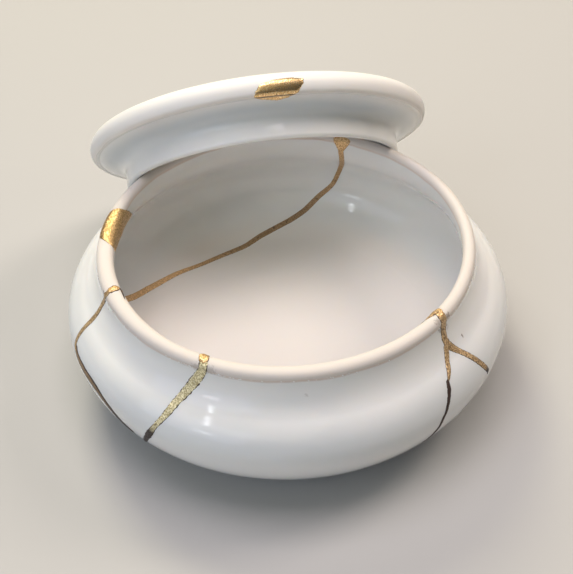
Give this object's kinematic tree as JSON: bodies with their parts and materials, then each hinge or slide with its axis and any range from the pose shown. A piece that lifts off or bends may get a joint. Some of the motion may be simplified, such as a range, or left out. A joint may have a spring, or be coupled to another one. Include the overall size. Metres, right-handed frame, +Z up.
{
  "type": "lidded porcelain box",
  "caption": "Round squat porcelain box mended with gold seams, hollow and empty, with its hollow-necked lid lifted off and leaning on the rear rim.",
  "frame": {"origin": "centre of the bowl's flat base, on the surface it stands on", "axes": "+Z up out of the bowl's mouth; +Y to the rear, the side the lid leans on; +X to the right as seen from the front"},
  "size_m": [0.1154, 0.1401, 0.0758],
  "materials": {
    "bowl_porcelain": "gloss",
    "lid_porcelain": "gloss",
    "rim_gold": "satin",
    "lid_gold": "satin",
    "long_seam_gold": "satin",
    "front_seam_gold": "satin",
    "forked_seam_gold": "satin"
  },
  "bodies": {
    "root": {"bowl": "bowl_porcelain", "lid": "lid_porcelain", "left_rim_mend": "rim_gold", "lid_edge_mend": "lid_gold", "long_seam": "long_seam_gold", "front_seam": "front_seam_gold", "forked_seam": "forked_seam_gold"}
  },
  "joints": []
}
